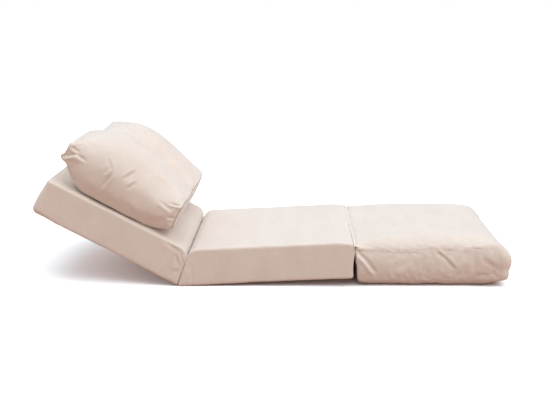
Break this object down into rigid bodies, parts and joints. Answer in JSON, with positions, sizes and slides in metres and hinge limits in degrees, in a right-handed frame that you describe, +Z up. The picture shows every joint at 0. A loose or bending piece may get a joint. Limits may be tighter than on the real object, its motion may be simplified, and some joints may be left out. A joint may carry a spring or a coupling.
{
  "type": "convertible floor armchair",
  "caption": "Fold-out upholstered floor chair: seat, backrest on ratchet hinges, foot section that folds over onto the seat, and loose pillows lying on the backrest.",
  "frame": {"origin": "on the floor, below the middle of the outline as drawn", "axes": "+X from the backrest to the foot section, +Y to the left of someone sitting in it, +Z up"},
  "size_m": [1.832, 0.711, 0.5724],
  "materials": {
    "cover_fabric": "soft brushed microsuede, pale pinkish beige",
    "wadding": "white polyester wadding",
    "foam": "cut cream polyurethane foam",
    "zip_tape": "woven nylon zip tape",
    "frame_steel": "black powder-coated tube",
    "hinge_steel": "zinc-plated pressed steel"
  },
  "bodies": {
    "seat": {"seat_frame": "frame_steel", "seat_cross_tubes": "frame_steel", "seat_foam_lower": "foam", "seat_foam_upper": "foam", "seat_wadding": "wadding", "seat_cover": "cover_fabric", "seat_zip": "zip_tape", "seat_socket_rivets": "frame_steel", "hinge_cheeks_left": "hinge_steel", "hinge_cheeks_right": "hinge_steel", "pivot_rivet_left": "hinge_steel", "pivot_rivet_right": "hinge_steel", "pawl_rivets_left": "hinge_steel", "pawl_rivets_right": "hinge_steel", "pawl_spring_left": "hinge_steel", "pawl_spring_right": "hinge_steel", "recline_gusset": "cover_fabric"},
    "backrest": {"ratchet_sector_left": "hinge_steel", "ratchet_sector_right": "hinge_steel", "back_frame": "frame_steel", "back_cross_tubes": "frame_steel", "back_foam_front": "foam", "back_foam_rear": "foam", "back_wadding": "wadding", "back_cover": "cover_fabric", "back_zip": "zip_tape", "back_socket_rivets": "frame_steel"},
    "pawl_left": {"pawl_left": "hinge_steel"},
    "pawl_right": {"pawl_right": "hinge_steel"},
    "foot": {"foot_foam": "foam", "foot_wadding": "wadding", "foot_cover": "cover_fabric", "foot_zip": "zip_tape", "fold_strip": "cover_fabric"},
    "pillow_left": {"pillow_cover_left": "cover_fabric", "pillow_fill_left": "wadding", "pillow_zip_left": "zip_tape"},
    "pillow_right": {"pillow_cover_right": "cover_fabric", "pillow_fill_right": "wadding", "pillow_zip_right": "zip_tape"}
  },
  "joints": [
    {"name": "recline", "type": "hinge", "parent": "seat", "child": "backrest", "pos_m": [-0.34243, 0, 0.07191], "axis": [0, 1, 0], "range_deg": [-27.5, 44.5], "deforming": ["recline_gusset"]},
    {"name": "foot_fold", "type": "hinge", "parent": "seat", "child": "foot", "pos_m": [0.30841, 0, 0.172], "axis": [0, -1, 0], "range_deg": [0, 182.5], "deforming": ["fold_strip"]},
    {"name": "pawl_left_turn", "type": "hinge", "parent": "seat", "child": "pawl_left", "pos_m": [-0.30667, 0.2995, 0.08019], "axis": [0, 1, 0], "range_deg": [0, 10.4], "deforming": ["pawl_spring_left"]},
    {"name": "pawl_right_turn", "type": "hinge", "parent": "seat", "child": "pawl_right", "pos_m": [-0.30667, -0.2995, 0.08019], "axis": [0, 1, 0], "range_deg": [0, 10.4], "deforming": ["pawl_spring_right"]},
    {"name": "pillow_left_slide", "type": "slide", "parent": "backrest", "child": "pillow_left", "axis": [-0.8865, 0, 0.4628], "range_m": [0, 0.182]},
    {"name": "pillow_right_slide", "type": "slide", "parent": "backrest", "child": "pillow_right", "axis": [-0.8865, 0, 0.4628], "range_m": [0, 0.182]}
  ],
  "couplings": [
    {"joint": "pillow_left_slide", "follows": "foot_fold", "m_per_rad": 0.056511},
    {"joint": "pillow_right_slide", "follows": "foot_fold", "m_per_rad": 0.056511}
  ]
}
